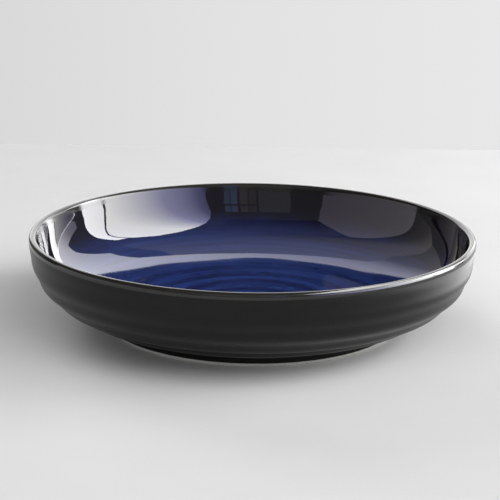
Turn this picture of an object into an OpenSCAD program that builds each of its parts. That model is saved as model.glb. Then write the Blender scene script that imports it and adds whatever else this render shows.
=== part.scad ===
// Shallow wheel-thrown salad bowl.
// A fired clay body with finger ridges, a rounded lip and a turned foot ring carries
// thin glaze coats that meet edge to edge. Millimetres, foot on Z = 0, axis on Z.

/* [Overall] */
// Diameter over the rim
rim_d = 220; // [180:1:300]
// Height from the table to the top of the lip
bowl_h = 46; // [37:0.5:80]

/* [Lip and well] */
// Thickness of the rounded lip, glaze included
lip_t = 3.8; // [2.6:0.1:7]
// Lean of the inside at the lip, in degrees up from level
lip_lean = 77; // [66:1:85]
// Thickness of the floor in the middle, glaze included
floor_t = 4.8; // [3:0.1:7]
// Radius of the level middle of the floor
floor_r = 15; // [8:1:40]
// How far the inside curve follows the floor, against the way from floor to lip
floor_pull = 0.93; // [0.75:0.01:1]
// How far the inside curve follows the lip, against the depth of the well
lip_pull = 0.43; // [0.2:0.01:0.55]

/* [Outer wall] */
// Lean of the outside at the lip, in degrees up from level
wall_lean = 86; // [72:1:89]
// How far the outer curve first heads outwards, against the way from foot ring to lip
rise_pull = 0.9; // [0.5:0.01:0.98]
// How far it rises meanwhile, against the height of the wall
wall_rise = 0.28; // [0.1:0.01:0.4]
// How far the outer curve follows the lip, against the height of the wall
wall_pull = 0.44; // [0.2:0.01:0.6]

/* [Foot ring] */
// Outer diameter of the foot ring
foot_d = 146; // [110:1:176]
// Width of the foot ring
foot_w = 6; // [4:0.1:10]
// Height of the foot ring's outer face, up to the wall
foot_h = 5.3; // [3.5:0.1:7.5]
// Depth of the hollow inside the foot ring
hollow_h = 2.8; // [2:0.1:3.6]
// Rounding of the two edges that meet the table
foot_round = 0.8; // [0.3:0.1:1.1]
// Reach of the soft corner where the foot ring meets the wall
waist_soft = 1.6; // [0.5:0.1:2.5]
// Reach of the soft corner inside the foot ring
hollow_soft = 1.2; // [0.5:0.1:2]

/* [Throwing marks] */
// Spacing of the finger ridges on the outside, along the wall
ridge_pitch = 10.7; // [6:0.1:16]
// Height of those ridges above and below the plain wall
ridge_h = 0.75; // [0:0.01:1]
// Distance of the first ridge from the foot ring
ridge_start = 2; // [0:0.1:12]
// Length over which the ridges die away towards the lip
ridge_fade = 40; // [10:1:60]
// Spacing of the rings in the well
ring_pitch = 11.4; // [6:0.1:16]
// Height of those rings in the clay, above and below the plain floor
ring_h = 0.1; // [0:0.02:0.3]
// Distance from the middle at which the rings begin to die away
ring_reach = 50; // [40:1:90]
// Length over which the rings die away up the wall
ring_fade = 24; // [10:1:40]

/* [Glaze] */
// Thickness of every glaze coat
glaze_t = 0.5; // [0.3:0.05:0.8]
// Share of the rings that the inside coat fills, lying thinner on each crest
ring_fill = 0.8; // [0:0.05:1]
// Thickness of a coat at its wiped edge
glaze_edge_t = 0.2; // [0.1:0.05:0.3]
// Length over which a coat thins towards a wiped edge
glaze_feather = 2; // [1:0.1:4]
// Height of bare clay left above the table
bare_h = 1.7; // [1.2:0.05:2.2]
// Depth of the rim band inside the bowl, below the top of the lip
band_in = 4; // [2.5:0.1:9]
// Depth of the rim band outside the bowl, below the top of the lip
band_out = 3; // [2.5:0.1:9]

/* [Hidden] */
$fn = 180;

// Steps along each stretch of the outline
floor_steps = 26;
well_steps = 88;
band_steps = 4;
lip_steps = 14;
wall_steps = 54;
corner_steps = 6;
// Spreads the steps evenly along a curve that slows towards the lip
step_ease = 1.5;
// Length over which the ridges grow from the foot ring
ridge_grow = 4;
// Least straight face kept beside a soft corner
corner_land = 0.1;

foot_r = foot_d / 2;
foot_in_r = foot_r - foot_w;
lip_r = lip_t / 2;
lip_mid = [rim_d / 2 - lip_r, bowl_h - lip_r];
floor_z = hollow_h + floor_t;
// Level of the clay above the hollow, before its coat
roof_z = hollow_h + glaze_t;
waist = [foot_r, foot_h];
waist_reach = min(waist_soft, foot_h - bare_h - corner_land);
hollow_reach = min(hollow_soft, roof_z - bare_h - corner_land);

// Plain geometry helpers
function unit(v) = v / norm(v);
function left_of(v) = [-v.y, v.x];
function ray(angle) = [cos(angle), sin(angle)];
function clamp01(x) = min(1, max(0, x));
function cubic(p, t) =
    pow(1 - t, 3) * p[0] + 3 * pow(1 - t, 2) * t * p[1] + 3 * (1 - t) * t * t * p[2] + t * t * t * p[3];
function cubic_dir(p, t) =
    unit(pow(1 - t, 2) * (p[1] - p[0]) + 2 * (1 - t) * t * (p[2] - p[1]) + t * t * (p[3] - p[2]));
function corner(a, b, c) =
    [for (i = [0:corner_steps]) let (t = i / corner_steps)
        pow(1 - t, 2) * a + 2 * (1 - t) * t * b + t * t * c];
// Place between lo and hi where a rising function passes zero
function solve(f, lo, hi, tries = 40) =
    let (mid = (lo + hi) / 2)
    tries == 0 ? mid : f(mid) > 0 ? solve(f, lo, mid, tries - 1) : solve(f, mid, hi, tries - 1);
// Distance along a list of points, up to each one
function travel(p) =
    [for (i = 0, s = 0; i < len(p); i = i + 1, s = s + (i < len(p) ? norm(p[i] - p[i - 1]) : 0)) s];
function tail(p) = [for (i = [1:len(p) - 1]) p[i]];
function reversed(p) = [for (i = [len(p) - 1:-1:0]) p[i]];

// Inside of the finished bowl: one curve from the level floor up to the lip
well_end = lip_mid + lip_r * ray(lip_lean + 90);
well_curve = [
    [floor_r, floor_z],
    [floor_r + floor_pull * (well_end.x - floor_r), floor_z],
    well_end - lip_pull * (well_end.y - floor_z) * ray(lip_lean),
    well_end];
function well(t) = cubic(well_curve, t);
function well_up(t) = left_of(cubic_dir(well_curve, t));

// Outside of the clay: one curve from the top of the foot ring up to the lip
wall_end = lip_mid + (lip_r - glaze_t) * ray(wall_lean - 90);
wall_curve = [
    waist,
    waist + [rise_pull * (wall_end.x - waist.x), wall_rise * (wall_end.y - waist.y)],
    wall_end - wall_pull * (wall_end.y - waist.y) * ray(wall_lean),
    wall_end];
function wall(t) = cubic(wall_curve, t);
function wall_out(t) = -left_of(cubic_dir(wall_curve, t));

// Where the rim band starts and ends on the two curves, and where the wall leaves its soft corner
band_in_t = solve(function (t) well(t).y - (bowl_h - band_in), 0, 1);
band_out_t = solve(function (t) wall(t).y - (bowl_h - band_out), 0, 1);
wall_start_t = solve(function (t) norm(wall(t) - waist) - waist_reach, 0, 1);
function eased(from, to, steps) =
    [for (i = [0:steps]) from + (to - from) * pow(i / steps, step_ease)];

// Throwing marks, as heights above the plain surface
function ring(s) = ring_h * cos(360 * s / ring_pitch) * clamp01(1 - (s - ring_reach) / ring_fade);
function ridge(s, length) =
    ridge_h * cos(360 * (s - ridge_start) / ridge_pitch)
    * clamp01((length - s) / ridge_fade) * clamp01(s / ridge_grow);

// Clay surface from the middle of the floor to the start of the rim band
floor_s = [for (i = [0:floor_steps - 1]) floor_r * i / floor_steps];
floor_line = [for (s = floor_s) [s, floor_z - glaze_t + ring(s)]];
well_stops = eased(0, band_in_t, well_steps);
well_s = [for (s = travel([for (t = well_stops) well(t)])) floor_r + s];
well_line = [for (i = [0:well_steps])
    well(well_stops[i]) + (ring(well_s[i]) - glaze_t) * well_up(well_stops[i])];
inside_line = concat(floor_line, well_line);

// Clay surface under the rim band: up the inside, over the lip, down the outside
band_up = [for (i = [0:band_steps]) let (t = band_in_t + (1 - band_in_t) * i / band_steps)
    well(t) - glaze_t * well_up(t)];
lip_turn = [for (i = [1:lip_steps - 1])
    lip_mid + (lip_r - glaze_t) * ray(lip_lean + 90 - (180 + lip_lean - wall_lean) * i / lip_steps)];
band_down = [for (i = [0:band_steps]) wall(1 + (band_out_t - 1) * i / band_steps)];
rim_line = concat(band_up, lip_turn, band_down);

// Clay surface from the rim band down the ridged wall and round the waist to the wiped edge
wall_stops = eased(wall_start_t, band_out_t, wall_steps);
wall_s = travel([for (t = wall_stops) wall(t)]);
wall_line = [for (i = [0:wall_steps])
    wall(wall_stops[i]) + ridge(wall_s[i], wall_s[wall_steps]) * wall_out(wall_stops[i])];
waist_line = corner(wall_line[0], waist, waist - [0, waist_reach]);
outside_line = concat(reversed(wall_line), tail(waist_line), [[foot_r, bare_h]]);

// Bare clay of the foot ring, from wiped edge to wiped edge
function foot_edge(r, from) =
    [for (i = [0:corner_steps]) [r, foot_round] + foot_round * ray(from - 90 * i / corner_steps)];
foot_line = concat(foot_edge(foot_r - foot_round, 0), foot_edge(foot_in_r + foot_round, -90));

// Clay surface of the hollow, from the wiped edge to the middle
base_line = concat(
    [[foot_in_r, bare_h]],
    corner([foot_in_r, roof_z - hollow_reach], [foot_in_r, roof_z], [foot_in_r - hollow_reach, roof_z]),
    [[0, roof_z]]);

// One line for the three upper coats, so that neighbours share their end faces
top_line = concat(inside_line, tail(rim_line), tail(outside_line));
inside_end = len(inside_line) - 1;
rim_end = inside_end + len(rim_line) - 1;
outside_end = len(top_line) - 1;

// Outward direction at each point of a line; plumb where the line meets the axis
function outward(p) = [for (i = [0:len(p) - 1])
    p[i].x == 0 ? [0, i == 0 ? 1 : -1]
    : left_of(unit(p[min(i + 1, len(p) - 1)] - p[max(i - 1, 0)]))];
// Coat thickness at a distance from its wiped edge, and what it loses over each ring of the well
function coat_t(s) = glaze_edge_t + (glaze_t - glaze_edge_t) * clamp01(s / glaze_feather);
ring_loss = [for (s = concat(floor_s, well_s)) ring_fill * ring(s)];
top_s = travel(top_line);
top_face = let (out = outward(top_line))
    [for (i = [0:outside_end]) let (loss = i > inside_end ? 0 : ring_loss[i])
        top_line[i] + (coat_t(top_s[outside_end] - top_s[i]) - loss) * out[i]];
base_s = travel(base_line);
base_face = let (out = outward(base_line))
    [for (i = [0:len(base_line) - 1]) base_line[i] + coat_t(base_s[i]) * out[i]];
function coat(clay, face, from, to) =
    concat([for (i = [from:to]) clay[i]], [for (i = [to:-1:from]) face[i]]);

module turned(outline) {
    rotate_extrude() polygon(outline);
}

module clay_body() {
    color("#cfc4b2") turned(concat(top_line, foot_line, base_line));
}

module inside_glaze() {
    color("#25397a") turned(coat(top_line, top_face, 0, inside_end));
}

module rim_glaze() {
    color("#33322c") turned(coat(top_line, top_face, inside_end, rim_end));
}

module outside_glaze() {
    color("#262628") turned(coat(top_line, top_face, rim_end, outside_end));
}

module base_glaze() {
    color("#262628") turned(coat(base_line, base_face, 0, len(base_line) - 1));
}

clay_body();
inside_glaze();
rim_glaze();
outside_glaze();
base_glaze();
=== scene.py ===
import math

import bmesh
import bpy
from bpy.props import FloatProperty, FloatVectorProperty, IntProperty, PointerProperty
from mathutils import Matrix, Vector, noise


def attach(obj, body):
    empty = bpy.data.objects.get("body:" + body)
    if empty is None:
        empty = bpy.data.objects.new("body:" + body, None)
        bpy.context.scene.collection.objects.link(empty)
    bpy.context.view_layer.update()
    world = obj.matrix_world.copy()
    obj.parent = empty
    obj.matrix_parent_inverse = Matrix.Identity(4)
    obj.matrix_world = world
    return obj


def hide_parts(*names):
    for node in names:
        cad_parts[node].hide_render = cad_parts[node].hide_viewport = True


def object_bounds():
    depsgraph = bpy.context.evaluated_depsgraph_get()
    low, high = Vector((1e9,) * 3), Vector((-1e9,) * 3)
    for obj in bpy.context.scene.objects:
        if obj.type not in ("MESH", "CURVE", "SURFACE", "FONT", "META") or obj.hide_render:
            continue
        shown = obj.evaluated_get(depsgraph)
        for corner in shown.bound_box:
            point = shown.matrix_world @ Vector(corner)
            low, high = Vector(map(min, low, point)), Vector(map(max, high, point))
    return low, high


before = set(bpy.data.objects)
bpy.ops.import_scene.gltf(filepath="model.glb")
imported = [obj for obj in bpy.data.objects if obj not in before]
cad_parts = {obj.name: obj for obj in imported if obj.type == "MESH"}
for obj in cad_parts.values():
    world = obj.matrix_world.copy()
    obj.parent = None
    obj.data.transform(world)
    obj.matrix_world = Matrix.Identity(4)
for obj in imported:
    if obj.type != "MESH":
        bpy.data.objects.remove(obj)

CAD_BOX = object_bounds()

bl_info = {
    "name": "Salad bowl",
    "version": (1, 0, 0),
    "blender": (4, 5, 0),
    "location": "View3D > Sidebar > Salad bowl",
    "description": "Glazed stoneware salad bowl, turned from its packed outlines, with its stage",
    "category": "Add Mesh",
}

MM = 0.001
# Side of the square picture in pixels, and width in mm of the sensor that the lens is given for
PHOTO_SIDE = 500
SENSOR = 36
# How near the XZ plane or the axis a point counts as on it, and the decimals that tell points apart
SEAM = 1e-6
DECIMALS = 7
# An outline has a corner where it turns by more than this
CORNER = math.radians(30)
# Faces that turn by more than this from one to the next meet in a sharp edge
SHARP_EDGE = math.radians(40)
# The ripple dies out within this distance of a corner
RIPPLE_FADE = 4 * MM
# Middle of the bowl, where the near lamps aim
BOWL = (0, 0, 0.02)


def linear(code):
    """A colour given as sRGB hex, in linear light."""
    parts = [int(code[i:i + 2], 16) / 255 for i in (1, 3, 5)]
    return [c / 12.92 if c <= 0.04045 else ((c + 0.055) / 1.055) ** 2.4 for c in parts]


def add_node(tree, kind, inputs=(), stops=(), **settings):
    """Adds a node with its settings; an input takes a plain value or the output that feeds it."""
    made = tree.nodes.new(kind)
    for key, value in settings.items():
        setattr(made, key, value)
    for key, value in dict(inputs).items():
        if isinstance(value, bpy.types.NodeSocket):
            tree.links.new(value, made.inputs[key])
        else:
            made.inputs[key].default_value = value
    for i, (place, colour) in enumerate(stops):
        element = made.color_ramp.elements[i] if i < 2 else made.color_ramp.elements.new(place)
        element.position, element.color = place, (*colour, 1)
    return made


def new_material(name):
    """An empty node material and its tree."""
    made = bpy.data.materials.new(name)
    made.use_nodes = True
    made.node_tree.nodes.clear()
    return made, made.node_tree


class SaladBowlGlazes(bpy.types.PropertyGroup):
    """Colours and gloss of the four finishes."""

    cobalt: FloatVectorProperty(
        name="Cobalt", description="Blue of the well", size=3, subtype="COLOR", default=linear("#2e407e"))
    cobalt_deep: FloatVectorProperty(
        name="Cobalt, pooled", description="Blue where the glaze lies thick", size=3, subtype="COLOR",
        default=linear("#1c2650"))
    cobalt_dark: FloatVectorProperty(
        name="Upper wall", description="Violet black that the blue runs into below the rim", size=3,
        subtype="COLOR", default=linear("#15121c"))
    rim: FloatVectorProperty(
        name="Rim", description="Olive black of the rim band", size=3, subtype="COLOR",
        default=linear("#10100f"))
    rim_break: FloatVectorProperty(
        name="Rim, thin", description="Brown where the glaze breaks over the lip", size=3, subtype="COLOR",
        default=linear("#2a2926"))
    black: FloatVectorProperty(
        name="Black", description="Satin black of the outside", size=3, subtype="COLOR",
        default=linear("#121213"))
    clay: FloatVectorProperty(
        name="Clay", description="Bare fired stoneware of the foot ring", size=3, subtype="COLOR",
        default=linear("#c6c5c2"))
    inside_roughness: FloatProperty(
        name="Inside roughness", description="Gloss of the inside, 0 is a mirror", default=0.03,
        min=0, max=1)
    outside_roughness: FloatProperty(
        name="Outside roughness", description="Satin of the outside", default=0.3, min=0, max=1)
    ring_pitch: FloatProperty(
        name="Ring spacing", description="Spacing of the throwing rings in the well", default=11.4 * MM,
        subtype="DISTANCE", unit="LENGTH")


class SaladBowlForm(bpy.types.PropertyGroup):
    """How finely the pieces are turned and how much the surface wanders."""

    segments: IntProperty(
        name="Segments", description="Steps round the bowl", default=240, min=48, max=720)
    step: FloatProperty(
        name="Outline step", description="Longest step along an outline", default=0.9 * MM,
        subtype="DISTANCE", unit="LENGTH")
    ripple: FloatProperty(
        name="Ripple", description="Height of the wandering of the glazed surface", default=0.015 * MM,
        subtype="DISTANCE", unit="LENGTH")
    ripple_across: FloatProperty(
        name="Ripple across", description="Size of one wave up the wall", default=9 * MM,
        subtype="DISTANCE", unit="LENGTH")
    ripple_round: FloatProperty(
        name="Ripple round", description="Size of one wave round the bowl", default=26 * MM,
        subtype="DISTANCE", unit="LENGTH")
    swell: FloatProperty(
        name="Swell", description="Extra thickness of the inside glaze where the well meets the wall",
        default=0.21 * MM, subtype="DISTANCE", unit="LENGTH")
    swell_radius: FloatProperty(
        name="Swell radius", description="Where the swell is highest", default=73.8 * MM,
        subtype="DISTANCE", unit="LENGTH")
    swell_width: FloatProperty(
        name="Swell width", description="How far the swell spreads to each side", default=9.4 * MM,
        subtype="DISTANCE", unit="LENGTH")


class SaladBowlStage(bpy.types.PropertyGroup):
    """Camera, table and lights."""

    distance: FloatProperty(
        name="Camera distance", description="From the middle of the rim", default=0.76,
        subtype="DISTANCE", unit="LENGTH")
    elevation: FloatProperty(
        name="Camera elevation", description="Above the level of the rim", default=math.radians(14.265),
        subtype="ANGLE", unit="ROTATION")
    roll: FloatProperty(
        name="Camera roll", description="Tilt of the frame", default=math.radians(-0.76),
        subtype="ANGLE", unit="ROTATION")
    lens: FloatProperty(name="Lens", description="Focal length in mm on a 36 mm sensor", default=110.4)
    rim_x: FloatProperty(
        name="Rim across", description="Middle of the rim in the picture, in pixels from the left",
        default=252.57)
    rim_y: FloatProperty(
        name="Rim down", description="Middle of the rim in the picture, in pixels from the top",
        default=230.35)
    paper: FloatVectorProperty(
        name="Table", description="Pale paper of the table", size=3, subtype="COLOR",
        default=linear("#e8e8e8"))
    wall_y: FloatProperty(
        name="Backdrop", description="Where the backdrop stands behind the bowl", default=0.447,
        subtype="DISTANCE", unit="LENGTH")
    room_glow: FloatProperty(
        name="Room glow", description="What the glazes mirror where no panel stands", default=0.15)
    window_watts: FloatProperty(
        name="Window light", description="Soft light from the right", default=6.93, subtype="POWER")


class SaladBowlSettings(bpy.types.PropertyGroup):
    """All settings of the bowl."""

    glazes: PointerProperty(type=SaladBowlGlazes)
    form: PointerProperty(type=SaladBowlForm)
    stage: PointerProperty(type=SaladBowlStage)


def outline(node):
    """A node's outline as (radius, height) points in order, read where its mesh crosses the XZ plane.

    The second value says whether the outline is closed; an open one ends on the axis.
    """
    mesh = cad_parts[node].data
    on_plane = {
        v.index: (round(max(v.co.x, 0), DECIMALS), round(v.co.z, DECIMALS))
        for v in mesh.vertices if abs(v.co.y) < SEAM and v.co.x > -SEAM}
    beside = {}
    for edge in mesh.edges:
        a, b = (on_plane.get(i) for i in edge.vertices)
        if a and b and a != b and a[0] + b[0] > SEAM:
            beside.setdefault(a, []).append(b)
            beside.setdefault(b, []).append(a)
    ends = [p for p in beside if len(set(beside[p])) == 1]
    walk = [min(ends or beside)]
    seen = set(walk)
    while onward := [p for p in beside[walk[-1]] if p not in seen]:
        walk.append(onward[0])
        seen.add(onward[0])
    if len(walk) != len(beside):
        raise RuntimeError("the outline of %s is not one line" % node)
    return [Vector(p) for p in walk], not ends


def point_at(points, i, closed):
    """Point i of an outline: a closed one goes round, an open one stops at its ends."""
    count = len(points)
    return points[i % count] if closed else points[min(max(i, 0), count - 1)]


def refined(points, closed, step):
    """The outline with extra points on a smooth curve through its own, sharp at its corners."""
    last = len(points) - 1

    def slope(i, start, end):
        """Slope at point i for the stretch from start to end."""
        before, here, after = (point_at(points, i + k, closed) for k in (-1, 0, 1))
        if not closed and i in (0, last):
            return after - before
        if abs((here - before).angle_signed(after - here, 0)) > CORNER:
            return end - start
        return (after - before).normalized() * (end - start).length

    out = []
    for i in range(len(points) if closed else last):
        a, b = point_at(points, i, closed), point_at(points, i + 1, closed)
        slope_a, slope_b = slope(i, a, b), slope(i + 1, a, b)
        pieces = max(1, math.ceil((b - a).length / step))
        for k in range(pieces):
            t = k / pieces
            out.append((2 * t ** 3 - 3 * t ** 2 + 1) * a + (t ** 3 - 2 * t ** 2 + t) * slope_a
                       + (3 * t ** 2 - 2 * t ** 3) * b + (t ** 3 - t ** 2) * slope_b)
    if not closed:
        out.append(points[-1])
    return out


def lathe_rings(mesh, points, closed, form, ripple, swell):
    """A ring of vertices for each outline point, lifted by the ripple and the swell.

    A point on the axis is one vertex that fills its ring.
    """
    before = [point_at(points, i - 1, closed) for i in range(len(points))]
    after = [point_at(points, i + 1, closed) for i in range(len(points))]
    travelled = [0.0]
    for a, b in zip(points, points[1:]):
        travelled.append(travelled[-1] + (b - a).length)
    corners = [
        far for far, a, p, b in zip(travelled, before, points, after) if (p - a).angle(b - p, 0) > CORNER]
    area = sum(p.x * b.y - b.x * p.y for p, b in zip(points, after))
    side = 1 if area > 0 else -1
    rings = []
    for far, a, p, b in zip(travelled, before, points, after):
        if p.x < SEAM:
            rings.append([mesh.verts.new((0, 0, p.y))] * form.segments)
            continue
        along = b - a
        out = Vector((along.y, -along.x)).normalized() * side
        fade = min([1] + [abs(far - corner) / RIPPLE_FADE for corner in corners])
        bulge = 0.0
        if out.y > 0:
            bulge = swell * math.exp(-0.5 * ((p.x - form.swell_radius) / form.swell_width) ** 2)
        ring = []
        for k in range(form.segments):
            angle = 2 * math.pi * k / form.segments
            c, s = math.cos(angle), math.sin(angle)
            wave = noise.noise((
                p.x * c / form.ripple_round, p.x * s / form.ripple_round, far / form.ripple_across))
            lift = bulge + ripple * fade * wave
            r, z = p.x + lift * out.x, p.y + lift * out.y
            ring.append(mesh.verts.new((r * c, r * s, z)))
        rings.append(ring)
    return rings


def turned(name, node, material, ripple=0.0, swell=0.0):
    """Turns a node's outline into a closed piece that stands for the node."""
    form = bpy.context.scene.salad_bowl.form
    points, closed = outline(node)
    points = refined(points, closed, form.step)
    mesh = bmesh.new()
    rings = lathe_rings(mesh, points, closed, form, ripple, swell)
    next_rings = rings[1:] + rings[:1] if closed else rings[1:]
    for low, high in zip(rings, next_rings):
        for k in range(form.segments):
            n = (k + 1) % form.segments
            corners = [low[k], low[n], high[n], high[k]]
            mesh.faces.new([v for j, v in enumerate(corners) if v not in corners[:j]])
    bmesh.ops.recalc_face_normals(mesh, faces=mesh.faces)
    data = bpy.data.meshes.new(name)
    mesh.to_mesh(data)
    mesh.free()
    data.shade_smooth()
    data.set_sharp_from_angle(angle=SHARP_EDGE)
    data.materials.append(material)
    piece = bpy.data.objects.new(name, data)
    bpy.context.scene.collection.objects.link(piece)
    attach(piece, "root")
    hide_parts(node)


def bare_stoneware(glazes):
    """Fired stoneware, wiped bare of glaze: matt, pale grey, with fine sand and a few iron specks."""
    made, tree = new_material("Bare fired stoneware")
    place = add_node(tree, "ShaderNodeTexCoord").outputs["Object"]
    # Sand of about 0.4 mm, drawn at 0.8 mm so that it shows in the picture
    grit = add_node(tree, "ShaderNodeTexNoise", {
        "Vector": place, "Scale": 1 / (0.8 * MM), "Detail": 3, "Roughness": 0.7})
    # Iron specks of about 0.5 mm, one to a cell of 3 mm
    specks = add_node(tree, "ShaderNodeTexVoronoi", {"Vector": place, "Scale": 1 / (3 * MM)})
    dark = add_node(tree, "ShaderNodeMapRange", {
        "Value": specks.outputs["Distance"], "From Min": 0.05, "From Max": 0.13,
        "To Min": 0.45, "To Max": 1})
    tone = add_node(tree, "ShaderNodeValToRGB", {"Fac": grit.outputs["Fac"]}, stops=[
        (0.25, [c * 0.72 for c in glazes.clay]), (0.75, [min(1, c * 1.12) for c in glazes.clay])])
    colour = add_node(tree, "ShaderNodeMix", {
        0: 1.0, 6: tone.outputs["Color"], 7: dark.outputs["Result"]},
        data_type="RGBA", blend_type="MULTIPLY")
    bump = add_node(tree, "ShaderNodeBump", {
        "Height": grit.outputs["Fac"], "Strength": 0.6, "Distance": 0.15 * MM})
    shader = add_node(tree, "ShaderNodeBsdfPrincipled", {
        "Base Color": colour.outputs[2], "Roughness": 0.88, "Normal": bump.outputs["Normal"]})
    add_node(tree, "ShaderNodeOutputMaterial", {"Surface": shader.outputs["BSDF"]})
    return made


def cobalt_glaze(glazes):
    """Glossy cobalt glaze: a clear mirror over blue, paler on the rings and violet black up the wall."""
    made, tree = new_material("Cobalt gloss glaze")
    place = add_node(tree, "ShaderNodeTexCoord").outputs["Object"]
    split = add_node(tree, "ShaderNodeSeparateXYZ", {"Vector": place})
    level = add_node(tree, "ShaderNodeCombineXYZ", {"X": split.outputs["X"], "Y": split.outputs["Y"]})
    radius = add_node(tree, "ShaderNodeVectorMath", {0: level.outputs["Vector"]}, operation="LENGTH")
    # Clouds of thicker and thinner glaze, 8 mm across
    cloud = add_node(tree, "ShaderNodeTexNoise", {
        "Vector": place, "Scale": 1 / (8 * MM), "Detail": 4, "Roughness": 0.6})
    # Throwing streaks 4 mm apart that run far round the bowl
    turn = add_node(tree, "ShaderNodeVectorMath", {0: level.outputs["Vector"]}, operation="NORMALIZE")
    spread = add_node(tree, "ShaderNodeSeparateXYZ", {"Vector": turn.outputs["Vector"]})
    apart = add_node(tree, "ShaderNodeMath", {
        0: radius.outputs["Value"], 1: 1 / (4 * MM)}, operation="MULTIPLY")
    around = add_node(tree, "ShaderNodeCombineXYZ", {
        "X": spread.outputs["X"], "Y": spread.outputs["Y"], "Z": apart.outputs["Value"]})
    streak = add_node(tree, "ShaderNodeTexNoise", {
        "Vector": around.outputs["Vector"], "Scale": 1, "Detail": 3, "Roughness": 0.55})
    # Rings that wander by about 0.6 mm, pale on their crests, gone 74 mm from the axis
    wander = add_node(tree, "ShaderNodeMath", {
        0: cloud.outputs["Fac"], 1: 1.2 * MM, 2: radius.outputs["Value"]}, operation="MULTIPLY_ADD")
    phase = add_node(tree, "ShaderNodeMath", {
        0: wander.outputs["Value"], 1: 2 * math.pi / glazes.ring_pitch}, operation="MULTIPLY")
    wave = add_node(tree, "ShaderNodeMath", {0: phase.outputs["Value"]}, operation="COSINE")
    reach = add_node(tree, "ShaderNodeMapRange", {
        "Value": radius.outputs["Value"], "From Min": 60 * MM, "From Max": 74 * MM,
        "To Min": 0.15, "To Max": 0})
    rings = add_node(tree, "ShaderNodeMath", {
        0: wave.outputs["Value"], 1: reach.outputs["Result"], 2: streak.outputs["Fac"]},
        operation="MULTIPLY_ADD")
    tone = add_node(tree, "ShaderNodeMath", {
        0: cloud.outputs["Fac"], 1: 0.35, 2: rings.outputs["Value"]}, operation="MULTIPLY_ADD")
    blue = add_node(tree, "ShaderNodeValToRGB", {"Fac": tone.outputs["Value"]}, stops=[
        (0.42, glazes.cobalt_deep), (0.95, glazes.cobalt)])
    # The blue gives way to violet black over 20 mm of the wall, at heights that the clouds shift
    height = add_node(tree, "ShaderNodeMath", {
        0: cloud.outputs["Fac"], 1: 8 * MM, 2: split.outputs["Z"]}, operation="MULTIPLY_ADD")
    climb = add_node(tree, "ShaderNodeMapRange", {
        "Value": height.outputs["Value"], "From Min": 17 * MM, "From Max": 37 * MM},
        interpolation_type="SMOOTHSTEP")
    colour = add_node(tree, "ShaderNodeMix", {
        0: climb.outputs["Result"], 6: blue.outputs["Color"], 7: (*glazes.cobalt_dark, 1)},
        data_type="RGBA")
    # Faint orange peel of the melt, 2 mm across
    peel = add_node(tree, "ShaderNodeTexNoise", {"Vector": place, "Scale": 1 / (2 * MM), "Detail": 2})
    bump = add_node(tree, "ShaderNodeBump", {
        "Height": peel.outputs["Fac"], "Strength": 0.5, "Distance": 0.004 * MM})
    shader = add_node(tree, "ShaderNodeBsdfPrincipled", {
        "Base Color": colour.outputs[2], "Roughness": glazes.inside_roughness, "IOR": 1.55,
        "Normal": bump.outputs["Normal"]})
    add_node(tree, "ShaderNodeOutputMaterial", {"Surface": shader.outputs["BSDF"]})
    return made


def rim_glaze(glazes):
    """Glossy dark rim glaze: olive black, breaking to brown where it runs thin over the lip."""
    made, tree = new_material("Olive black rim glaze")
    place = add_node(tree, "ShaderNodeTexCoord").outputs["Object"]
    split = add_node(tree, "ShaderNodeSeparateXYZ", {"Vector": place})
    # Mottling of 1.5 mm, which also makes the edge of the break uneven
    mottle = add_node(tree, "ShaderNodeTexNoise", {
        "Vector": place, "Scale": 1 / (1.5 * MM), "Detail": 4, "Roughness": 0.65})
    height = add_node(tree, "ShaderNodeMath", {
        0: mottle.outputs["Fac"], 1: 1.4 * MM, 2: split.outputs["Z"]}, operation="MULTIPLY_ADD")
    # The break covers about the topmost 2 mm
    lip = CAD_BOX[1].z
    crest = add_node(tree, "ShaderNodeMapRange", {
        "Value": height.outputs["Value"], "From Min": lip - 2 * MM, "From Max": lip},
        interpolation_type="SMOOTHSTEP")
    colour = add_node(tree, "ShaderNodeMix", {
        0: crest.outputs["Result"], 6: (*glazes.rim, 1), 7: (*glazes.rim_break, 1)}, data_type="RGBA")
    gloss = add_node(tree, "ShaderNodeMapRange", {
        "Value": mottle.outputs["Fac"], "To Min": 0.08, "To Max": 0.14})
    shader = add_node(tree, "ShaderNodeBsdfPrincipled", {
        "Base Color": colour.outputs[2], "Roughness": gloss.outputs["Result"], "IOR": 1.55})
    add_node(tree, "ShaderNodeOutputMaterial", {"Surface": shader.outputs["BSDF"]})
    return made


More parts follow.
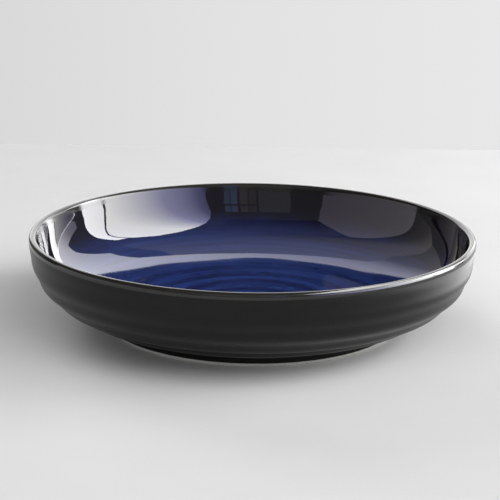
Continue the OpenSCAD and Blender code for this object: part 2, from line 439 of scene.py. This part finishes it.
def black_glaze(glazes):
    """Satin black glaze: soft, dark grey sheen with a fine speckle and a little unevenness in gloss."""
    made, tree = new_material("Satin black glaze")
    place = add_node(tree, "ShaderNodeTexCoord").outputs["Object"]
    # Clouds of 7 mm and a speckle of 0.7 mm
    cloud = add_node(tree, "ShaderNodeTexNoise", {
        "Vector": place, "Scale": 1 / (7 * MM), "Detail": 4, "Roughness": 0.6})
    speckle = add_node(tree, "ShaderNodeTexNoise", {
        "Vector": place, "Scale": 1 / (0.7 * MM), "Detail": 2, "Roughness": 0.7})
    tone = add_node(tree, "ShaderNodeMath", {
        0: cloud.outputs["Fac"], 1: 0.5, 2: speckle.outputs["Fac"]}, operation="MULTIPLY_ADD")
    colour = add_node(tree, "ShaderNodeValToRGB", {"Fac": tone.outputs["Value"]}, stops=[
        (0.45, [c * 0.7 for c in glazes.black]), (1.0, [c * 1.4 for c in glazes.black])])
    gloss = add_node(tree, "ShaderNodeMapRange", {
        "Value": cloud.outputs["Fac"], "To Min": glazes.outside_roughness - 0.05,
        "To Max": glazes.outside_roughness + 0.05})
    bump = add_node(tree, "ShaderNodeBump", {
        "Height": speckle.outputs["Fac"], "Strength": 0.4, "Distance": 0.02 * MM})
    # The fine crystals of a satin glaze weaken its sheen, so the IOR is matched below the usual 1.5
    shader = add_node(tree, "ShaderNodeBsdfPrincipled", {
        "Base Color": colour.outputs["Color"], "Roughness": gloss.outputs["Result"], "IOR": 1.31,
        "Normal": bump.outputs["Normal"]})
    add_node(tree, "ShaderNodeOutputMaterial", {"Surface": shader.outputs["BSDF"]})
    return made


def table_paper(stage):
    """Matt pale paper of the table: almost even, with faint clouds of 60 mm."""
    made, tree = new_material("Matt pale table paper")
    place = add_node(tree, "ShaderNodeTexCoord").outputs["Object"]
    cloud = add_node(tree, "ShaderNodeTexNoise", {"Vector": place, "Scale": 1 / (60 * MM), "Detail": 5})
    colour = add_node(tree, "ShaderNodeValToRGB", {"Fac": cloud.outputs["Fac"]}, stops=[
        (0.3, [c * 0.97 for c in stage.paper]), (0.7, list(stage.paper))])
    shader = add_node(tree, "ShaderNodeBsdfPrincipled", {
        "Base Color": colour.outputs["Color"], "Roughness": 0.9, "Specular IOR Level": 0.1})
    add_node(tree, "ShaderNodeOutputMaterial", {"Surface": shader.outputs["BSDF"]})
    return made


def glowing_backdrop():
    """Backdrop that glows by itself, with painted light that is a little paler towards the right, and clear
    from behind.
    """
    made, tree = new_material("Evenly lit backdrop")
    place = add_node(tree, "ShaderNodeTexCoord").outputs["Object"]
    split = add_node(tree, "ShaderNodeSeparateXYZ", {"Vector": place})
    across = add_node(tree, "ShaderNodeMapRange", {
        "Value": split.outputs["X"], "From Min": -200 * MM, "From Max": 200 * MM})
    # Painted light: the backdrop's own glow is a little paler towards the right, where the window light
    # comes from
    tone = add_node(tree, "ShaderNodeValToRGB", {"Fac": across.outputs["Result"]}, stops=[
        (0.0, linear("#d9d9d9")), (0.45, linear("#e2e2e2")), (1.0, linear("#e8e8e8"))])
    light = add_node(tree, "ShaderNodeEmission", {"Color": tone.outputs["Color"], "Strength": 1.0})
    clear = add_node(tree, "ShaderNodeBsdfTransparent")
    front = add_node(tree, "ShaderNodeNewGeometry")
    mix = add_node(tree, "ShaderNodeMixShader", {
        0: front.outputs["Backfacing"], 1: light.outputs["Emission"], 2: clear.outputs["BSDF"]})
    add_node(tree, "ShaderNodeOutputMaterial", {"Surface": mix.outputs["Shader"]})
    return made


def flat_sheet(name, corners, material):
    """A flat piece of the stage."""
    data = bpy.data.meshes.new(name)
    data.from_pydata(corners, [], [range(len(corners))])
    data.materials.append(material)
    sheet = bpy.data.objects.new(name, data)
    bpy.context.scene.collection.objects.link(sheet)
    return sheet


def receivers(name, pieces):
    """A set of pieces that a panel or a lamp reaches."""
    made = bpy.data.collections.new(name)
    for piece in pieces:
        made.objects.link(bpy.data.objects[piece])
    return made


def across_y(y, points):
    """Corners of a panel that stands across the Y axis, from (x, height) points in mm."""
    return [(x * MM, y, z * MM) for x, z in points]


def across_x(x, points):
    """Corners of a panel that stands across the X axis, from (y, height) points in mm."""
    return [(x, y * MM, z * MM) for y, z in points]


def lit_panel(name, corners, pieces, tint, strength, again=0.0, grade=None, fade=None):
    """A softbox that only the given pieces mirror.

    Its tint is one colour, or stops along the axis and between the two places that grade gives. Its
    strength is for a first mirroring, again for a mirroring of that. Fade gives two heights and the
    share of the strength that is left at the upper one.
    """
    made, tree = new_material(name)
    place = add_node(tree, "ShaderNodeTexCoord").outputs["Object"]
    split = add_node(tree, "ShaderNodeSeparateXYZ", {"Vector": place})
    if grade:
        axis, start, end = grade
        along = add_node(tree, "ShaderNodeMapRange", {
            "Value": split.outputs[axis], "From Min": start, "From Max": end})
        colour = add_node(tree, "ShaderNodeValToRGB", {"Fac": along.outputs["Result"]}, stops=[
            (share, linear(code)) for share, code in tint]).outputs["Color"]
    else:
        colour = (*linear(tint), 1)
    first = strength
    if fade:
        low, high, left = fade
        first = add_node(tree, "ShaderNodeMapRange", {
            "Value": split.outputs["Z"], "From Min": low, "From Max": high,
            "To Min": strength, "To Max": strength * left}).outputs["Result"]
    depth = add_node(tree, "ShaderNodeLightPath").outputs["Ray Depth"]
    power = add_node(tree, "ShaderNodeMapRange", {
        "Value": depth, "From Min": 1, "From Max": 2, "To Min": first, "To Max": again})
    light = add_node(tree, "ShaderNodeEmission", {"Color": colour, "Strength": power.outputs["Result"]})
    add_node(tree, "ShaderNodeOutputMaterial", {"Surface": light.outputs["Emission"]})
    panel = flat_sheet(name, corners, made)
    panel.visible_camera = panel.visible_diffuse = False
    panel.visible_shadow = panel.visible_transmission = False
    panel.light_linking.receiver_collection = pieces


class SALADBOWL_OT_clay_body(bpy.types.Operator):
    """Turn the fired clay body, bare at the foot ring"""

    bl_idname = "salad_bowl.clay_body"
    bl_label = "Clay body"

    def execute(self, context):
        turned("clay_body_turned", "clay_body", bare_stoneware(context.scene.salad_bowl.glazes))
        return {"FINISHED"}


class SALADBOWL_OT_inside_glaze(bpy.types.Operator):
    """Coat the well and the inner wall"""

    bl_idname = "salad_bowl.inside_glaze"
    bl_label = "Inside glaze"

    def execute(self, context):
        settings = context.scene.salad_bowl
        turned("inside_glaze_coat", "inside_glaze", cobalt_glaze(settings.glazes),
               settings.form.ripple, settings.form.swell)
        return {"FINISHED"}


class SALADBOWL_OT_rim_glaze(bpy.types.Operator):
    """Coat the rounded lip"""

    bl_idname = "salad_bowl.rim_glaze"
    bl_label = "Rim glaze"

    def execute(self, context):
        turned("rim_glaze_coat", "rim_glaze", rim_glaze(context.scene.salad_bowl.glazes))
        return {"FINISHED"}


class SALADBOWL_OT_black_glazes(bpy.types.Operator):
    """Coat the ridged outer wall and the hollow under the foot"""

    bl_idname = "salad_bowl.black_glazes"
    bl_label = "Outside and base glaze"

    def execute(self, context):
        settings = context.scene.salad_bowl
        black = black_glaze(settings.glazes)
        turned("outside_glaze_coat", "outside_glaze", black, settings.form.ripple)
        turned("base_glaze_coat", "base_glaze", black)
        return {"FINISHED"}


class SALADBOWL_OT_stage(bpy.types.Operator):
    """Set the table, backdrop, lights and camera"""

    bl_idname = "salad_bowl.stage"
    bl_label = "Stage"

    def execute(self, context):
        scene = context.scene
        stage = scene.salad_bowl.stage
        scene.view_settings.view_transform = "Standard"
        self.add_papers(stage)
        inside = receivers("Inside coat", ["inside_glaze_coat"])
        glossy = receivers("Inside and rim", ["inside_glaze_coat", "rim_glaze_coat"])
        self.add_wall(inside)
        self.add_window(inside, glossy)
        self.add_left_room(inside, glossy)
        self.add_far_window(glossy)
        self.add_world(scene, stage)
        self.add_lights(scene, stage)
        self.add_sheens(scene)
        self.add_camera(scene, stage)
        return {"FINISHED"}

    def add_papers(self, stage):
        """The table, and the backdrop at its back edge, which lights nothing."""
        back, front, table_half = stage.wall_y, -5, 4
        backdrop_half, top = 1.6, 1.2
        flat_sheet("table", [
            (-table_half, front, 0), (table_half, front, 0), (table_half, back, 0), (-table_half, back, 0)],
            table_paper(stage))
        backdrop = flat_sheet("backdrop", [
            (-backdrop_half, back, 0), (backdrop_half, back, 0), (backdrop_half, back, top),
            (-backdrop_half, back, top)], glowing_backdrop())
        backdrop.visible_glossy = backdrop.visible_diffuse = backdrop.visible_shadow = False

    def add_wall(self, inside):
        """Panels for the wall behind the bowl, pale below and dim above, and for the ceiling."""
        wall_y, front_y = 2.0, -4.0
        # Ends and top of the upper wall in mm, and the uneven edge that the two wall panels share
        left, right, top = -12000, 1700, 9000
        crest = [(250, 1900), (0, 2050), (-250, 1900), (-400, 1700), (-1000, 2000), (-1300, 1800),
                 (-1650, 1400), (-2150, 1000)]
        pale = [(2300, -300), (2600, 50), (3100, 200), (3550, 450), (3400, 850), (1650, 850), (1300, 1200),
                (950, 1950), (400, 1750), *crest, (-1450, 850), (-800, 650), (-700, -300)]
        upper = [(-2500, 900), *reversed(crest), (500, 2300), (right, 2900), (right, top), (left, top),
                 (left, 500), (-3400, 500)]
        ceiling = [(left, front_y), (right, front_y), (right, wall_y), (left, wall_y)]
        # Brightest in the middle, with a low stretch at the right end
        lit_panel("wall_glow", across_y(wall_y, pale), inside, [
            (0.0, "#5c5a50"), (0.2, "#68645c"), (0.3, "#b8b6c0"), (0.4, "#f4f4fa"), (0.6, "#f4f2fa"),
            (0.8, "#a8a4b6"), (1.0, "#9a96a8")], 3.5, again=3.5, grade=("X", -1.7, 3.4))
        # Brightest over the left half of the pale wall, and dimmer towards the ceiling
        lit_panel("upper_wall_glow", across_y(wall_y, upper), inside, [
            (0.0, "#909090"), (0.35, "#b4b0aa"), (0.52, "#fff4e8"), (0.75, "#f0e8e0"), (1.0, "#b4b4b8")],
            0.7, again=3.2, grade=("X", -6.0, right * MM), fade=(2.0, top * MM, 0.35))
        # Dims from the wall towards the camera
        lit_panel("ceiling_glow", [(x * MM, y, top * MM) for x, y in ceiling], inside, [
            (0.0, "#000000"), (1.0, "#f0e8e0")], 0.24, grade=("Y", front_y, wall_y))

    def add_window(self, inside, glossy):
        """Panels for a tall window on the right and a narrow strip beside it, outlines in mm."""
        window_x = 1.0
        # The window's back edge; the rim mirrors only what stands below its fifth point
        edge = [(100, 0), (100, 200), (150, 350), (250, 550), (350, 700), (550, 1000), (650, 1250),
                (750, 1700)]
        low = [(-1900, 0), (-1850, 700), *reversed(edge[:5])]
        high = [(-1850, 700), (-1850, 1300), (-1750, 2000), (-1350, 2700), (-700, 3150), (-100, 3100),
                (450, 2800), (750, 2300), *reversed(edge[4:])]
        # White at the back edge, bluer and dimmer towards the camera
        panes = [(0.0, "#45476a"), (0.18, "#5a5b7e"), (0.59, "#9898ba"), (0.9, "#eeeef2"), (1.0, "#ffffff")]
        for name, points, pieces, again in (("low", low, glossy, 16.0), ("high", high, inside, 0.0)):
            lit_panel("window_%s_glow" % name, across_x(window_x, points), pieces, panes, 12.0,
                      again=again, grade=("Y", -1.85, 0.1))
        # The strip keeps a dark post's width away from the window
        post = 30
        strip = [(450, 0), (450, 200), (600, 600), (700, 850), (850, 1400), (750, 1550),
                 *[(y + post, z) for y, z in reversed(edge[:7])]]
        lit_panel("strip_glow", across_x(window_x, strip), glossy, "#fcfcff", 13.0, again=45.0)

    def add_left_room(self, inside, glossy):
        """Panels for a dim room on the left, outlines in mm; the rim mirrors only its low part."""
        room_x = -1.0
        low = [(300, 0), (350, 350), (-1100, 350), (-1100, 0)]
        high = [(350, 350), (400, 600), (450, 950), (600, 1750), (600, 2100), (200, 2050), (-300, 1900),
                (-700, 1750), (-1000, 1050), (-1100, 450), (-1100, 350)]
        for name, points, pieces in (("low", low, glossy), ("high", high, inside)):
            lit_panel("left_room_%s_glow" % name, across_x(room_x, points), pieces, [
                (0.0, "#d0c8e0"), (1.0, "#fff6ff")], 1.0, again=2.0, grade=("Y", -1.2, 0.5))

    def add_far_window(self, glossy):
        """Faint panels behind the camera: a window of two leaves, four panes each, and a pale patch."""
        far_y, foot, rise = -3.0, 620, 2680
        barred = [(0.0, 0.43), (0.52, 1.0)]
        whole = [(0.0, 1.0)]
        # Left and right edge in mm, each at the foot and at the head, then stretches up, tint, strength
        columns = [
            ((910, 1050), (730, 820), barred, "#afc8ff", 0.9),
            ((700, 790), (490, 550), barred, "#afc8ff", 1.0),
            ((420, 450), (170, 150), barred, "#fff4f4", 0.42),
            ((140, 110), (-90, -160), barred, "#f4f0e8", 0.35),
            ((-150, -250), (-1170, -1480), whole, "#fcfcff", 0.36),
        ]
        for i, (left, right, stretches, tint, strength) in enumerate(columns):
            for k, (low, high) in enumerate(stretches):
                points = [
                    (side[0] + (side[1] - side[0]) * up, foot + rise * up)
                    for side, up in ((left, low), (right, low), (right, high), (left, high))]
                lit_panel("far_pane_%d_%d" % (i, k), across_y(far_y, points), glossy, tint, strength)

    def add_world(self, scene, stage):
        """Pale to the camera, dim to the glazes that mirror it, and no light on anything else."""
        world = bpy.data.worlds.new("Room")
        world.use_nodes = True
        tree = world.node_tree
        tree.nodes.clear()
        ray = add_node(tree, "ShaderNodeLightPath")
        mirrored = add_node(tree, "ShaderNodeMix", {
            0: ray.outputs["Is Glossy Ray"], 6: (0, 0, 0, 1), 7: (*[stage.room_glow] * 3, 1)},
            data_type="RGBA")
        seen = add_node(tree, "ShaderNodeMix", {
            0: ray.outputs["Is Camera Ray"], 6: mirrored.outputs[2], 7: (*linear("#e3e3e3"), 1)},
            data_type="RGBA")
        back = add_node(tree, "ShaderNodeBackground", {"Color": seen.outputs[2]})
        add_node(tree, "ShaderNodeOutputWorld", {"Surface": back.outputs["Background"]})
        scene.world = world

    def add_lights(self, scene, stage):
        """Soft lights that no gloss mirrors: one near the bowl, the others far off."""
        near = bpy.data.lights.new("Window light", "AREA")
        near.energy, near.size = stage.window_watts, 0.6
        self.add_lamp(scene, near, (0.9, 0.15, 0.35), BOWL)
        # Bearing in degrees from behind the bowl towards the right, height and width in degrees, strength
        far_lights = {
            "Right window": (100, 25, 45, 1.28),
            "Right ceiling": (130, 45, 45, 0.57),
            "Room behind camera": (180, 50, 80, 1.05),
            "Low left front": (-150, 12, 20, 0.41),
            "Low left back": (-30, 20, 30, 1.3),
            "High left": (-60, 60, 50, 0.2),
        }
        for name, (bearing, height, width, strength) in far_lights.items():
            light = bpy.data.lights.new(name, "SUN")
            light.energy, light.angle = strength, math.radians(width)
            a, e = math.radians(bearing), math.radians(height)
            spot = (math.sin(a) * math.cos(e), math.cos(a) * math.cos(e), math.sin(e))
            self.add_lamp(scene, light, spot, (0, 0, 0))

    def add_sheens(self, scene):
        """Lamps that one piece alone mirrors, and that light nothing else."""
        rim = receivers("Rim coat", ["rim_glaze_coat"])
        outer = receivers("Outside", ["outside_glaze_coat"])
        half_turn = 180
        # Pieces, place, aim, width and height in metres, radiance, spread in degrees
        sheens = {
            "Wall in the rim": (rim, (0.0, 1.0, 0.5), BOWL, 1.3, 1.0, 2.0, half_turn),
            "Right wall in the rim": (rim, (1.0, 1.25, 0.3), BOWL, 0.8, 0.6, 3.0, half_turn),
            "Window in the rim": (rim, (0.95, 0.25, 0.5), BOWL, 1.0, 0.6, 7.0, half_turn),
            "Softbox over the lip": (rim, (0.2, -0.085, 0.2), (0.2, -0.085, 0), 0.22, 0.28, 6.0, 110),
            "Table in the outside": (outer, (0.55, 0.05, 0.004), (0.55, 0.05, 1), 0.8, 0.9, 2.4, half_turn),
        }
        for name, (pieces, spot, aim, width, height, radiance, spread) in sheens.items():
            light = bpy.data.lights.new(name, "AREA")
            light.shape, light.size, light.size_y = "RECTANGLE", width, height
            light.energy, light.spread = radiance * math.pi * width * height, math.radians(spread)
            lamp = self.add_lamp(scene, light, spot, aim)
            lamp.visible_glossy, lamp.visible_diffuse = True, False
            lamp.light_linking.receiver_collection = pieces

    def add_lamp(self, scene, light, spot, aim):
        """A lamp at a spot, turned to its aim, that neither the camera nor a mirroring shows."""
        lamp = bpy.data.objects.new(light.name, light)
        lamp.location = spot
        lamp.rotation_euler = (Vector(aim) - Vector(spot)).to_track_quat("-Z", "Y").to_euler()
        lamp.visible_glossy = lamp.visible_camera = False
        scene.collection.objects.link(lamp)
        return lamp

    def add_camera(self, scene, stage):
        """The photograph's view, with the middle of the rim at its place in the picture."""
        e, roll = stage.elevation, stage.roll
        forward = Vector((0, math.cos(e), -math.sin(e)))
        level = Vector((1, 0, 0))
        upright = Vector((0, math.sin(e), math.cos(e)))
        right = math.cos(roll) * level - math.sin(roll) * upright
        up = math.sin(roll) * level + math.cos(roll) * upright
        pixels = stage.lens / SENSOR * PHOTO_SIDE
        off_right = (stage.rim_x - PHOTO_SIDE / 2) / pixels
        off_down = (stage.rim_y - PHOTO_SIDE / 2) / pixels
        aim = (forward - off_right * right + off_down * up).normalized()
        side = aim.cross(up).normalized()
        turn = Matrix((side, side.cross(aim), -aim)).transposed()
        rim = Vector((0, 0, CAD_BOX[1].z))
        data = bpy.data.cameras.new("Camera")
        data.lens, data.sensor_width = stage.lens, SENSOR
        data.clip_start, data.clip_end = 0.01, 50
        camera = bpy.data.objects.new("Camera", data)
        camera.matrix_world = Matrix.Translation(rim - stage.distance * forward) @ turn.to_4x4()
        scene.collection.objects.link(camera)
        scene.camera = camera


class VIEW3D_PT_salad_bowl(bpy.types.Panel):
    """Pieces and settings of the bowl"""

    bl_label = "Salad bowl"
    bl_space_type = "VIEW_3D"
    bl_region_type = "UI"
    bl_category = "Salad bowl"

    def draw(self, context):
        settings = context.scene.salad_bowl
        for group in (settings.glazes, settings.form, settings.stage):
            box = self.layout.box()
            for name in group.__annotations__:
                box.prop(group, name)
        for operator in PIECES:
            self.layout.operator(operator.bl_idname)


PIECES = (SALADBOWL_OT_clay_body, SALADBOWL_OT_inside_glaze, SALADBOWL_OT_rim_glaze,
          SALADBOWL_OT_black_glazes, SALADBOWL_OT_stage)
CLASSES = (SaladBowlGlazes, SaladBowlForm, SaladBowlStage, SaladBowlSettings, *PIECES, VIEW3D_PT_salad_bowl)


def register():
    """Makes the classes and the scene's settings known."""
    for item in CLASSES:
        bpy.utils.register_class(item)
    bpy.types.Scene.salad_bowl = PointerProperty(type=SaladBowlSettings)


def unregister():
    """Takes the settings and the classes away again."""
    del bpy.types.Scene.salad_bowl
    for item in reversed(CLASSES):
        bpy.utils.unregister_class(item)


def main():
    """Builds the bowl and its stage."""
    register()
    bpy.ops.salad_bowl.clay_body()
    bpy.ops.salad_bowl.inside_glaze()
    bpy.ops.salad_bowl.rim_glaze()
    bpy.ops.salad_bowl.black_glazes()
    bpy.ops.salad_bowl.stage()


if __name__ == "__main__":
    main()
